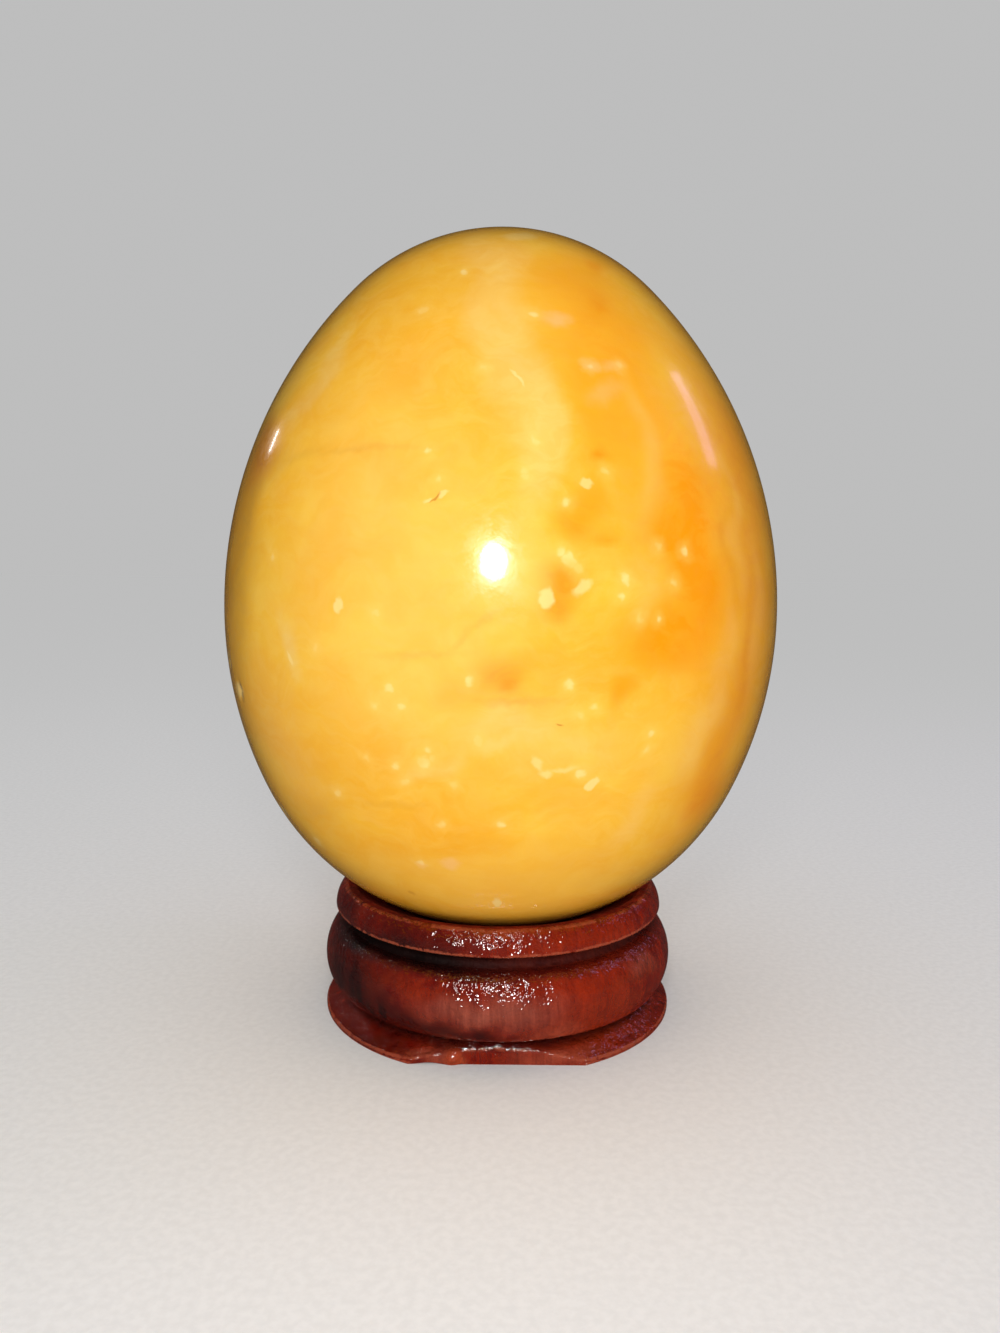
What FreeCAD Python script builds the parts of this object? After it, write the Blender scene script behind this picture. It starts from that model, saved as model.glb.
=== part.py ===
import FreeCAD, Part
import Sketcher
import math
import os

# A polished stone egg that rests upright in a turned wooden ring stand.
# Lengths are millimetres, +Z is up, and the origin is the centre of the stand's underside.

# Driving dimensions: lengths, angles in degrees, and one share
DIMENSIONS = {
    # The egg, blunt end down
    "egg_height": 75.33,
    "egg_girth_radius": 30.0,
    "egg_girth_height_share": 0.4625,
    "egg_crown_join_angle": 44.1,
    "egg_base_join_angle": 24.8,
    # The conical seat that holds it, in the top of the stand
    "seat_clearance": 0.15,
    "seat_angle": 23.2,
    "seat_land_width": 0.9,
    "bore_radius": 11.0,
    "bore_chamfer": 0.8,
    # The rounded band under the rim, with its lip
    "rim_radius": 17.34,
    "band_height": 2.46,
    "band_flare": 1.12,
    "band_round_radius": 3.2,
    "lip_rise": 0.55,
    "cove_radius": 0.6,
    # The broad bead
    "bead_radius": 19.6,
    "bead_height": 7.2,
    "bead_depth": 2.32,
    "bead_join_angle": 32.0,
    # The spreading foot, hollow on top, with a flat sawn on its front
    "foot_radius": 19.6,
    "foot_edge_height": 0.5,
    "foot_rise": 2.0,
    "foot_hollow_radius": 10.0,
    "foot_groove_depth": 0.88,
    "foot_flat_depth": 2.2,
    # How far a cut runs on past what it cuts
    "cut_overrun": 2.0,
}

# Heights and radii of the stand that follow from the dimensions
BEAD_FOOT = "(sizes.foot_edge_height + sizes.foot_rise)"
BEAD_CREST = f"({BEAD_FOOT} + sizes.bead_height / 2)"
BEAD_TOP = f"({BEAD_FOOT} + sizes.bead_height)"
COVE_MIDDLE = f"({BEAD_TOP} + sizes.cove_radius)"
COVE_TOP = f"({COVE_MIDDLE} + sizes.cove_radius)"
LIP_HEIGHT = f"({COVE_TOP} + sizes.lip_rise)"
RIM_HEIGHT = f"({LIP_HEIGHT} + sizes.band_height)"
LIP_RADIUS = "(sizes.rim_radius + sizes.band_flare)"
SEAT_MOUTH_RADIUS = "(sizes.rim_radius - sizes.seat_land_width)"
SEAT_FOOT = f"({RIM_HEIGHT} - ({SEAT_MOUTH_RADIUS} - sizes.bore_radius) * tan(sizes.seat_angle))"
NECK_RADIUS = "(sizes.bead_radius - sizes.bead_depth)"
FOOT_GROOVE_RADIUS = f"({NECK_RADIUS} - sizes.foot_groove_depth)"
FOOT_FLAT_DISTANCE = "(sizes.foot_radius - sizes.foot_flat_depth)"
FOOT_CUT_REACH = "(sizes.foot_radius + sizes.cut_overrun)"


def end_radius(depth, reach, join_angle):
    """Radius of an oval's end arc, which meets its side arc where the normal is at join_angle.

    depth is half the oval's width, and reach runs from its widest level to that end.
    Asked the other way round, with the angle's complement, this is the side arc's radius.
    """
    slope = f"tan(({join_angle}) / 2)"
    return f"(({depth} / {slope} - {reach}) / (1 / {slope} - 1))"


EGG_GIRTH_HEIGHT = "(sizes.egg_height * sizes.egg_girth_height_share)"
EGG_BASE_RADIUS = end_radius("sizes.egg_girth_radius", EGG_GIRTH_HEIGHT, "sizes.egg_base_join_angle")

# The cone of the seat carries the sphere of the egg's blunt end along one circle
EGG_POLE_HEIGHT = (
    f"{RIM_HEIGHT} - {SEAT_MOUTH_RADIUS} * tan(sizes.seat_angle)"
    f" + ({EGG_BASE_RADIUS} + sizes.seat_clearance) / cos(sizes.seat_angle) - {EGG_BASE_RADIUS}"
)

# A sketch numbers the ends of an edge from one, and its own two axes from minus one down
START = 1
END = START + 1
ACROSS = -1
UP = ACROSS - 1
ORIGIN = (ACROSS, START)


def make_sheet(document):
    """The spreadsheet of driving dimensions, one named cell each."""
    sheet = document.addObject("Spreadsheet::Sheet", "sizes")
    for row, (name, number) in enumerate(DIMENSIONS.items(), start=1):
        sheet.set(f"A{row}", name)
        sheet.set(f"B{row}", str(number))
        sheet.setAlias(f"B{row}", name)
    document.recompute()
    return sheet


def value(sketch, expression):
    """What an expression comes to with the sheet's present numbers."""
    return float(sketch.evalExpression(expression))


def new_sketch(body, name, role):
    """An empty sketch on one of the body's own origin planes."""
    sketch = body.newObject("Sketcher::SketchObject", name)
    plane = next(item for item in body.Origin.OriginFeatures if item.Role == role)
    sketch.AttachmentSupport = [(plane, "")]
    sketch.MapMode = "FlatFace"
    return sketch


def straight(point):
    """An outline's step along a straight edge to a point."""
    return {"point": point, "radius": None, "near": START, "far": END}


def rounded(point, radius):
    """A step along an arc that swells out of the outline."""
    return {"point": point, "radius": radius, "near": START, "far": END}


def hollowed(point, radius):
    """A step along an arc that sinks into the outline."""
    return {"point": point, "radius": radius, "near": END, "far": START}


def half_oval(foot, side, top, foot_join_angle, top_join_angle):
    """Four tangent arcs from foot to top round side, the widest point of an oval."""
    depth = f"({side[0]} - {foot[0]})"
    foot_reach = f"({side[1]} - {foot[1]})"
    top_reach = f"({top[1]} - {side[1]})"
    foot_end = end_radius(depth, foot_reach, foot_join_angle)
    top_end = end_radius(depth, top_reach, top_join_angle)
    foot_side = end_radius(foot_reach, depth, f"90 - {foot_join_angle}")
    top_side = end_radius(top_reach, depth, f"90 - {top_join_angle}")
    foot_join = (
        f"{foot[0]} + {foot_end} * cos({foot_join_angle})",
        f"{foot[1]} + {foot_end} * (1 - sin({foot_join_angle}))",
    )
    top_join = (
        f"{top[0]} + {top_end} * cos({top_join_angle})",
        f"{top[1]} - {top_end} * (1 - sin({top_join_angle}))",
    )
    return [
        rounded(foot_join, foot_end),
        rounded(side, foot_side),
        rounded(top_join, top_side),
        rounded(top, top_end),
    ]


def add_edge(sketch, start, step):
    """Add the line or arc of one step to a sketch and return its number."""
    ends = {}
    for name, point in ((step["near"], start), (step["far"], step["point"])):
        ends[name] = FreeCAD.Vector(value(sketch, point[0]), value(sketch, point[1]), 0)
    if step["radius"] is None:
        return sketch.addGeometry(Part.LineSegment(ends[START], ends[END]), False)
    radius = value(sketch, step["radius"])
    chord = ends[END] - ends[START]
    square_to_chord = FreeCAD.Vector(-chord.y, chord.x, 0).normalize()
    centre_distance = math.sqrt(radius**2 - (chord.Length / 2) ** 2)
    centre = ends[START] + chord / 2 + square_to_chord * centre_distance
    first, last = (math.atan2(end.y - centre.y, end.x - centre.x) for end in (ends[START], ends[END]))
    circle = Part.Circle(centre, FreeCAD.Vector(0, 0, 1), radius)
    return sketch.addGeometry(Part.ArcOfCircle(circle, first, last), False)


def bind(sketch, kind, references, expression):
    """Add a dimension to a sketch and bind it to an expression."""
    constraint = Sketcher.Constraint(kind, *references, value(sketch, expression))
    number = sketch.addConstraint(constraint)
    sketch.setExpression(f"Constraints[{number}]", expression)


def pin(sketch, corner, point):
    """Hold a corner at a pair of expressions, of which a zero puts it on the axis."""
    for kind, axis, expression in (("DistanceX", UP, point[0]), ("DistanceY", ACROSS, point[1])):
        if expression == "0":
            sketch.addConstraint(Sketcher.Constraint("PointOnObject", *corner, axis))
        else:
            bind(sketch, kind, (*ORIGIN, *corner), expression)


def draw_outline(sketch, steps):
    """Draw a closed outline, anticlockwise, and hold every corner and radius of it."""
    starts = [step["point"] for step in steps[-1:] + steps[:-1]]
    edges = [add_edge(sketch, start, step) for start, step in zip(starts, steps)]
    for edge, step in zip(edges, steps):
        pin(sketch, (edge, step["far"]), step["point"])
        if step["radius"] is not None:
            bind(sketch, "Radius", (edge,), step["radius"])
    followers = list(zip(edges, steps))[1:] + [(edges[0], steps[0])]
    for edge, step, (follower, next_step) in zip(edges, steps, followers):
        join = Sketcher.Constraint("Coincident", edge, step["far"], follower, next_step["near"])
        sketch.addConstraint(join)


def revolve(body, name, sketch):
    """Turn an upright sketch once round the body's vertical axis."""
    turned = body.newObject("PartDesign::Revolution", name)
    turned.Profile = sketch
    turned.ReferenceAxis = (sketch, ["V_Axis"])
    turned.Angle = 360
    return turned


def make_egg(document):
    """The stone egg, drawn from the pole of its blunt end and set down in the seat."""
    body = document.addObject("PartDesign::Body", "egg")
    body.Label = "egg"
    sketch = new_sketch(body, "egg_outline", "XZ_Plane")
    arcs = half_oval(
        foot=("0", "0"),
        side=("sizes.egg_girth_radius", EGG_GIRTH_HEIGHT),
        top=("0", "sizes.egg_height"),
        foot_join_angle="sizes.egg_base_join_angle",
        top_join_angle="sizes.egg_crown_join_angle",
    )
    draw_outline(sketch, [*arcs, straight(("0", "0"))])
    revolve(body, "egg_stone", sketch)
    body.setExpression("Placement.Base.z", EGG_POLE_HEIGHT)
    return body


def stand_outline():
    """The stand's section, from the foot's edge up the outside and down the bore."""
    bead = half_oval(
        foot=(NECK_RADIUS, BEAD_FOOT),
        side=("sizes.bead_radius", BEAD_CREST),
        top=(NECK_RADIUS, BEAD_TOP),
        foot_join_angle="sizes.bead_join_angle",
        top_join_angle="sizes.bead_join_angle",
    )
    cove_floor = f"{NECK_RADIUS} - sizes.cove_radius"
    return [
        straight(("sizes.foot_radius", "0")),
        straight(("sizes.foot_radius", "sizes.foot_edge_height")),
        hollowed((FOOT_GROOVE_RADIUS, BEAD_FOOT), "sizes.foot_hollow_radius"),
        straight((NECK_RADIUS, BEAD_FOOT)),
        *bead,
        hollowed((cove_floor, COVE_MIDDLE), "sizes.cove_radius"),
        hollowed((NECK_RADIUS, COVE_TOP), "sizes.cove_radius"),
        straight((LIP_RADIUS, LIP_HEIGHT)),
        rounded(("sizes.rim_radius", RIM_HEIGHT), "sizes.band_round_radius"),
        straight((SEAT_MOUTH_RADIUS, RIM_HEIGHT)),
        straight(("sizes.bore_radius", SEAT_FOOT)),
        straight(("sizes.bore_radius", "sizes.bore_chamfer")),
        straight(("sizes.bore_radius + sizes.bore_chamfer", "0")),
    ]


def make_stand(document):
    """The ring stand: one turning, with a flat sawn on the front of its foot."""
    body = document.addObject("PartDesign::Body", "stand")
    body.Label = "stand"
    section = new_sketch(body, "stand_section", "XZ_Plane")
    draw_outline(section, stand_outline())
    turning = revolve(body, "stand_turning", section)
    document.recompute()

    waste = new_sketch(body, "foot_flat_waste", "XY_Plane")
    draw_outline(
        waste,
        [
            straight((f"-{FOOT_CUT_REACH}", f"-{FOOT_CUT_REACH}")),
            straight((FOOT_CUT_REACH, f"-{FOOT_CUT_REACH}")),
            straight((FOOT_CUT_REACH, f"-{FOOT_FLAT_DISTANCE}")),
            straight((f"-{FOOT_CUT_REACH}", f"-{FOOT_FLAT_DISTANCE}")),
        ],
    )
    flat = body.newObject("PartDesign::Pocket", "foot_flat")
    flat.Profile = waste
    flat.Reversed = True
    flat.setExpression("Length", BEAD_FOOT)
    document.recompute()
    if not flat.Shape.Volume < turning.Shape.Volume:
        raise RuntimeError("the flat on the foot cuts nothing")
    return body


def check(document, bodies):
    """Stop where an object has failed, or a sub-part isn't one sound solid."""
    failed = [item.Name for item in document.Objects if {"Invalid", "Error"} & set(item.State)]
    if failed:
        raise RuntimeError(f"failed objects: {failed}")
    for body in bodies:
        shape = body.Shape
        if shape.isNull() or not shape.isValid() or len(shape.Solids) != 1:
            raise RuntimeError(f"{body.Label} is not one sound solid")


def write(bodies):
    """Write each sub-part to a file of its own name."""
    os.makedirs("parts", exist_ok=True)
    for body in bodies:
        body.Shape.exportStep(f"parts/{body.Label}.step")
        box = body.Shape.optimalBoundingBox()
        print(f"{body.Label}: {body.Shape.Volume:.0f} mm3, z {box.ZMin:.2f} to {box.ZMax:.2f}")


document = FreeCAD.newDocument("egg_on_stand")
make_sheet(document)
parts = [make_stand(document), make_egg(document)]
document.recompute()
check(document, parts)
write(parts)
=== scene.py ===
import math

import bpy
import numpy as np
from mathutils import Matrix, Vector, noise


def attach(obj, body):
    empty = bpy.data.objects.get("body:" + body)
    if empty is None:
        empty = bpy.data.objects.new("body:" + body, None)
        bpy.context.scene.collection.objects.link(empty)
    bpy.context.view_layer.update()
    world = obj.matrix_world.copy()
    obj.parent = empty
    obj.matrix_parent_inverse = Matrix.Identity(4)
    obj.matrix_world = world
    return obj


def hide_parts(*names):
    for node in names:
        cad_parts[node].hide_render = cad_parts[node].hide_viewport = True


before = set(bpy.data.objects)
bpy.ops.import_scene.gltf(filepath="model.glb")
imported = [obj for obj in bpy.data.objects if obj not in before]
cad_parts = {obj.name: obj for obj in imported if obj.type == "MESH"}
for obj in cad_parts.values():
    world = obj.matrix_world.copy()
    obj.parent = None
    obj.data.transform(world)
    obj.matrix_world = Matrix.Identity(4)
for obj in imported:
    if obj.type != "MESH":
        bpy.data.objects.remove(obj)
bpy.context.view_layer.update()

# The loaded solids come in selected, and an operator would act on them as well.
for loaded in bpy.context.selected_objects:
    loaded.select_set(False)

MM = 0.001

# Sizes of the egg and the ring stand in millimetres; both keep within the solids' box.
EGG_HEIGHT = 75.33
EGG_GIRTH_RADIUS = 29.98
EGG_GIRTH_SHARE = 0.4625
EGG_CROWN_JOIN = math.radians(44.1)
EGG_BASE_JOIN = math.radians(24.8)
EGG_FOOT_HEIGHT = 9.546
EGG_TURN_STEPS = 432

# Steps of its arcs: the blunt end, the side above the girth, the crown, the side below.
EGG_ARC_STEPS = (46, 50, 46, 30)

BORE_RADIUS = 11.0
BORE_CHAMFER = 0.8
SEAT_FOOT_HEIGHT = 11.578
SEAT_MOUTH_RADIUS = 16.44
RIM_RADIUS = 17.34
RIM_HEIGHT = 13.91
LIP_RADIUS = 18.46
LIP_HEIGHT = 11.45
BAND_ROUND = 3.2
NECK_RADIUS = 17.28
COVE_RADIUS = 0.6
COVE_TOP = 10.9
BEAD_RADIUS = 19.6
BEAD_TOP = 9.7
BEAD_CREST = 6.1
BEAD_FOOT = 2.5
BEAD_JOIN = math.radians(32.0)
FOOT_RADIUS = 19.6
FOOT_EDGE = 0.5
FOOT_HOLLOW = 10.0
FOOT_GROOVE_RADIUS = 16.4
FLAT_DISTANCE = 17.4
STAND_TURN_STEPS = 448

# Steps in which the stretches of the stand's outline are drawn.
STAND_STEPS = {
    "edge": 3, "hollow": 24, "shelf": 4, "bead end": 9, "bead": 24, "cove": 9, "lip": 5,
    "band": 16, "rim": 7, "seat": 12, "bore": 10, "chamfer": 2, "underside": 3,
}

# Corners of the stand that are eased, with the length in mm that each gives up on both sides.
EASED_CORNERS = (
    ("lip", 0.16), ("rim", 0.3), ("mouth", 0.2), ("seat", 0.3), ("edge", 0.16), ("underside", 0.1),
)
EASE_STEPS = 4

# Points of a turned piece and of the sawn flat that lie nearer than this are merged, in mm.
MERGE_GAP = 0.001
FLAT_MERGE_GAP = 0.002

# The saw takes points this far below the bead's foot, and this far inside the chamfer, in mm.
BEAD_MARGIN = 0.02
BORE_MARGIN = 0.01

# The flat's edge is worn over this width and above this height in mm, by rounds of smoothing.
WORN_REACH = 0.85
WORN_FROM = 0.3
WORN_SHARE = 0.5
WORN_ROUNDS = 32

# Faces that meet at less than this are shaded as one skin.
SMOOTH_ANGLE = math.radians(50)

# A curve this tight, as one over its radius in mm, counts as a full edge or a full hollow.
FULL_BEND = 1.9
BEND_ROUNDS = 2

# The least that is divided by, in mm2 between two points and as a patch's cover.
LEAST_GAP = 1e-6
LEAST_COVER = 1e-4

# The photo's camera, found from the outlines of the egg and the stand.
PHOTO_WIDTH = 1000
PHOTO_HEIGHT = 1333
PHOTO_FOCUS_PIXELS = 1001.0
FILM_SIDE = 36.0
CAMERA_PLACE = (-0.013, -112.67, 49.84)
CAMERA_TILT = math.radians(90.0 - 5.923)
CAMERA_ROLL = math.radians(0.526)
CAMERA_NEAR = 5.0
CAMERA_FAR = 20000.0

# The piece is probed this many pixels beside a mark, no farther off than this many mm.
PROBE_PIXELS = 3.0
PROBE_LIMIT = 3.0

# Nicks on the egg: photo pixel, depth and reach in mm.
EGG_NICKS = (
    (240, 690, 0.22, 1.0),
    (230, 662, 0.12, 0.8),
    (284, 811, 0.15, 0.9),
    (434, 498, 0.18, 1.0),
)

# Marks on the stand: photo pixel, the way it is pushed in mm, and its reach. A drip on the
# flat, the chipped underside beside it, and a scratch with a notch on the foot's right.
STAND_MARKS = (
    (452, 1058, (0, -0.55, 0.03), 1.25),
    (431, 1064, (0, 0.02, 0.15), 1.3),
    (421, 1063, (0, 0.02, 0.11), 1.1),
    (622, 1039, (0, 0.02, -0.07), 0.5),
    (629, 1036, (0, 0.02, -0.09), 0.5),
    (636, 1033, (0, 0.02, -0.09), 0.5),
    (643, 1029, (0, 0.02, -0.07), 0.5),
    (645, 1023, (0, 0.02, -0.08), 0.7),
)

# How the patches' edges sway: the size of a swing and its reach in mm, on stone and on wood.
STONE_SWAY = (5.0, 2.4)
WOOD_SWAY = (3.0, 1.2)
PATCH_DEPTH = 1.5

# Where the noise is read for each axis, so that the three swings differ.
SWING_OFFSETS = (Vector((0.0, 0.0, 0.0)), Vector((31.7, 5.3, 11.9)), Vector((7.1, 57.3, 23.8)))

# Broad patches: colour, then marks as photo pixel, half sizes, tilt, softness, strength. Most are
# the stone's own tone; the darker ones along its left and right edges are painted shade.
STONE_PATCHES = (
    ((252, 201, 92), (
        (395, 560, 80, 170, 0, 0.9, 0.55),
        (380, 488, 30, 36, 0, 0.8, 0.35),
        (455, 590, 70, 60, 0, 0.9, 0.45),
        (430, 700, 90, 50, 8, 0.9, 0.4),
    )),
    ((253, 207, 110), (
        (500, 315, 26, 94, 4, 0.7, 0.6),
        (533, 425, 25, 92, 0, 0.6, 0.65),
        (508, 731, 46, 15, 20, 0.8, 0.65),
        (435, 766, 24, 10, 20, 0.8, 0.5),
        (560, 750, 60, 26, 10, 0.9, 0.4),
    )),
    ((252, 166, 22), ((608, 335, 44, 74, 0, 0.8, 0.75), (606, 430, 24, 60, 0, 0.8, 0.6))),
    ((246, 208, 120), ((324, 368, 7, 38, -6, 0.7, 0.4), (291, 652, 8, 34, 8, 0.7, 0.6))),
    ((252, 197, 96), (
        (649, 470, 11, 84, 0, 0.7, 0.6),
        (697, 740, 14, 40, -10, 0.8, 0.55),
        (628, 818, 40, 9, 48, 0.8, 0.5),
        (640, 590, 12, 24, 0, 0.8, 0.4),
    )),
    ((253, 156, 3), (
        (694, 545, 34, 96, 0, 0.95, 1.1),
        (668, 636, 44, 30, 0, 0.95, 0.85),
        (588, 518, 20, 16, 0, 0.9, 0.8),
        (624, 530, 13, 8, 0, 0.8, 0.7),
        (628, 690, 12, 12, 0, 0.8, 0.8),
    )),
    ((243, 148, 14), (
        (555, 592, 26, 22, 0, 0.9, 0.8),
        (605, 459, 8, 10, 0, 0.8, 0.95),
        (593, 273, 9, 7, 0, 0.8, 0.5),
        (596, 297, 11, 8, 0, 0.8, 0.5),
        (700, 800, 18, 34, -30, 0.8, 0.6),
    )),
    ((226, 138, 16), ((503, 680, 42, 27, 0, 0.9, 0.6), (520, 692, 18, 9, 20, 0.8, 0.4))),
    # Painted shade along the left edge.
    ((196, 144, 46), ((243, 530, 11, 90, 0, 0.8, 0.6), (315, 812, 18, 16, 0, 0.9, 0.25))),
    ((246, 190, 92), ((276, 740, 22, 64, 14, 0.9, 0.45),)),
    ((188, 108, 34), ((262, 456, 13, 19, 0, 0.8, 0.6),)),
    ((253, 194, 76), ((500, 896, 150, 26, 0, 0.8, 0.7),)),
    # Painted shade along the right edge.
    ((230, 128, 8), ((747, 500, 17, 120, 0, 0.9, 0.55), (730, 730, 15, 64, 12, 0.9, 0.5))),
    ((250, 182, 82), (
        (739, 530, 5, 64, 0, 0.8, 0.42),
        (724, 660, 6, 60, -4, 0.8, 0.42),
        (757, 610, 5, 70, 0, 0.8, 0.36),
    )),
    ((226, 136, 20), ((748, 640, 4, 70, 0, 0.8, 0.3), (733, 560, 3, 50, 0, 0.8, 0.22))),
)

# Round pale crumbs: photo pixel and radius in pixels.
PALE_CRUMBS = (
    (464, 272, 4), (424, 310, 4.5), (534, 315, 4.5), (590, 366, 3), (619, 365, 3), (483, 368, 3.5),
    (428, 451, 3.5), (535, 442, 4), (525, 471, 4), (525, 477, 4), (439, 479, 3), (567, 502, 4),
    (605, 471, 3.5), (272, 557, 3.5), (376, 614, 3.5), (569, 560, 8), (561, 552, 5), (577, 568, 6),
    (625, 579, 5), (623, 596, 3.5), (658, 547, 4), (685, 552, 5.5), (674, 584, 3.5), (640, 618, 3.5),
    (658, 619, 3), (315, 648, 3), (390, 688, 4), (470, 681, 4.5), (569, 685, 4.5), (374, 706, 3.5),
    (401, 707, 3.5), (580, 715, 4.5), (594, 707, 3.5), (479, 741, 6), (424, 763, 6), (432, 758, 4),
    (427, 751, 4), (396, 766, 4), (366, 757, 3.5), (405, 782, 4), (453, 785, 3.5),
    (581, 773, 4), (652, 734, 4), (647, 750, 3.5),
    (502, 825, 4.5), (442, 825, 4), (338, 792, 3), (420, 862, 3.5), (317, 841, 2.5),
)

# Long pale marks: photo pixel, half sizes in pixels, tilt, softness, strength.
PALE_FLECKS = (
    (519, 236, 14, 3, 5, 0.5, 0.5),
    (518, 378, 10, 1.5, -50, 0.4, 0.8),
    (338, 606, 4.5, 8, 0, 0.3, 0.95),
    (547, 599, 8, 10, 0, 0.3, 0.95),
    (584, 587, 10, 6, 35, 0.35, 0.8),
    (290, 658, 8, 1.5, -70, 0.4, 0.7),
    (494, 746, 17, 6, 20, 0.9, 0.4),
    (537, 764, 3.5, 8, 25, 0.6, 0.7),
    (546, 774, 7, 4, -8, 0.6, 0.8),
    (563, 769, 13, 2.5, 8, 0.7, 0.6),
    (592, 784, 8, 4, 20, 0.25, 0.95),
    (426, 500, 4, 2, 40, 0.4, 0.8),
    (442, 494, 5, 2, 30, 0.4, 0.8),
    (586, 483, 6, 5, 0, 0.3, 0.8),
    (240, 690, 3, 5, 0, 0.4, 0.9),
    (229, 660, 2, 5, 0, 0.4, 0.8),
    (283, 811, 3, 3, 0, 0.4, 0.8),
    (497, 903, 4, 4.5, 0, 0.4, 1.0),
)

# Pink flecks and dark marks, laid as the long pale marks are.
PINK_FLECKS = (
    (557, 319, 12, 6, 0, 0.8, 0.6),
    (591, 366, 10, 5, -10, 0.8, 0.5),
    (612, 366, 10, 5, 10, 0.8, 0.35),
    (605, 392, 15, 9, 30, 0.9, 0.3),
    (451, 864, 9, 5, 0, 0.7, 0.55),
    (420, 865, 5, 3, 0, 0.7, 0.4),
)

DARK_MARKS = (
    (434, 498, 7, 1.3, 35, 0.5, 0.55),
    (560, 725, 3.5, 1.4, -25, 0.5, 0.55),
    (412, 893, 2.2, 1.6, 0, 0.6, 0.25),
    (303, 455, 20, 3.0, 22, 0.95, 0.1),
    (364, 448, 46, 2.8, 4, 0.95, 0.12),
    (420, 655, 40, 3.2, 2, 0.95, 0.11),
    (460, 641, 16, 3.0, 50, 0.95, 0.12),
    (483, 621, 18, 3.2, 33, 0.95, 0.11),
    (519, 702, 36, 3.4, 0, 0.95, 0.16),
    (397, 805, 30, 3.0, 0, 0.95, 0.1),
)

# The stone's own colours, and how far each one tints it; the last, darker towards the outline, is
# painted shade.
STONE_TONES = ((0.0, (250, 180, 42)), (0.5, (251, 190, 54)), (1.0, (252, 202, 72)))
WISP_TONE, WISP_SHARE = (248, 168, 28), 0.4
MILK_TONE, MILK_SHARE = (255, 212, 104), 0.22
HONEY_TONE, HONEY_SHARE = (234, 148, 22), 0.2
HALO_SHARE = 0.3
CRUMB_TONE, CRUMB_SHARE = (255, 224, 142), 0.72
FREE_CRUMB_SHARE = 0.7
PINK_TONE = (252, 194, 122)
DARK_TONE = (178, 92, 12)
# Painted shade: the stone darkens where its skin turns away from the view.
LIMB_SHADE_TONE, LIMB_SHADE_SHARE, LIMB_SHADE_FROM = (138, 84, 24), 0.45, 0.6

# Sizes in the stone, in mm: slow clouds, fine clouds, the swing of a mark's edge and its
# reach, the spacing of the free crumbs, and between which depths these fade in at the back.
SLOW_CLOUDS = 22.0
FINE_CLOUDS = 6.0
FRAY_SIZE, FRAY_REACH = 1.1, 0.5
CRUMB_SPACING = 5.2
BACK_FROM, BACK_FULL = -12.0, 0.0

# Distances in mm from a crumb's edge between which it and its halo grow to their full colour,
# and how pale the crumbs are, from the least to the most.
CRUMB_EDGE = (0.16, -0.22)
HALO_EDGE = (1.0, -0.3)
CRUMB_PALENESS = (0.3, 0.9)

# How the wisps break up the patches: their share, and what a patch keeps without them.
STONE_BREAKS = (0.3, 0.88)

# The stone's skin: grain in mm, roughness from and to, and the relief's strength and mm.
STONE_GRAIN = 0.8
STONE_ROUGH = (0.13, 0.27)
STONE_RELIEF = (0.3, 0.1)
STONE_IOR = 1.5
STONE_COAT, STONE_COAT_ROUGHNESS = 0.5, 0.07

# How bright the egg stands in the lacquer: its underside is dark in the photo.
EGG_MIRRORED = 0.3

# Broad patches on the lacquer, laid as on the stone. Most are painted light and shade: lighter
# patches on the band, the bead and the flat, painted reflections on the bead, and painted shade on
# the left, under the lip, in the grooves and beside the drip. The last row is the drip's own colour.
WOOD_TONES_AND_PAINTED_LIGHT = (
    # Painted light: lighter patches on the band and the bead, most of them on the right.
    ((160, 42, 6), ((585, 940, 70, 14, 6, 0.8, 0.7), (590, 985, 60, 18, 12, 0.8, 0.7))),
    ((150, 44, 12), ((400, 988, 50, 10, -16, 0.8, 0.6), (600, 1036, 60, 14, 16, 0.8, 0.75))),
    # Painted light on the flat.
    ((176, 80, 56), ((430, 1052, 26, 6, 0, 0.8, 0.7), (560, 1053, 40, 8, 0, 0.8, 0.6))),
    # Painted reflections on the bead's lower front and on its right.
    ((178, 96, 76), ((490, 1015, 60, 14, 0, 0.7, 0.6), (641, 962, 12, 7, 0, 0.9, 0.4))),
    ((98, 50, 26), ((636, 974, 22, 6, 20, 0.9, 0.25),)),
    # Painted shade: darker on the left, under the lip, and in the grooves above and below the bead.
    ((66, 5, 3), ((405, 936, 60, 16, -12, 0.8, 0.75), (360, 1000, 30, 30, 0, 0.8, 0.4))),
    ((26, 5, 4), ((395, 951, 74, 9, -16, 0.8, 0.9), (350, 936, 24, 16, -10, 0.8, 0.8))),
    ((26, 4, 4), ((350, 985, 22, 24, 0, 0.8, 0.75), (395, 1022, 66, 9, -24, 0.8, 0.85))),
    ((30, 5, 4), ((470, 1038, 44, 5, -6, 0.8, 0.7), (375, 1040, 30, 9, -20, 0.8, 0.5))),
    # Painted shadow beside the drip.
    ((52, 8, 5), ((464, 1058, 3, 6, 0, 0.6, 0.7),)),
    # The drip's own colour.
    ((184, 70, 36), ((452, 1057, 13, 9, 0, 0.5, 1.2),)),
)

# The lacquered wood's own colours, and how far some of them tint it; the hollow tone is painted
# shade.
DEEP_WOOD = (104, 12, 4)
WARM_WOOD = (140, 28, 6)
MOTTLE_TONE, MOTTLE_SHARE = (164, 54, 20), 0.35
LINE_TONE, LINE_SHARE = (74, 8, 4), 0.25
# Painted shade in the hollows, the cove and the groove on the foot.
HOLLOW_SHADE_TONE, HOLLOW_SHADE_SHARE = (18, 7, 6), 0.9
PORE_TONE, PORE_SHARE = (44, 6, 4), 0.2
WORN_TONE, WORN_AMOUNT = (182, 88, 60), 0.58

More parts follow.
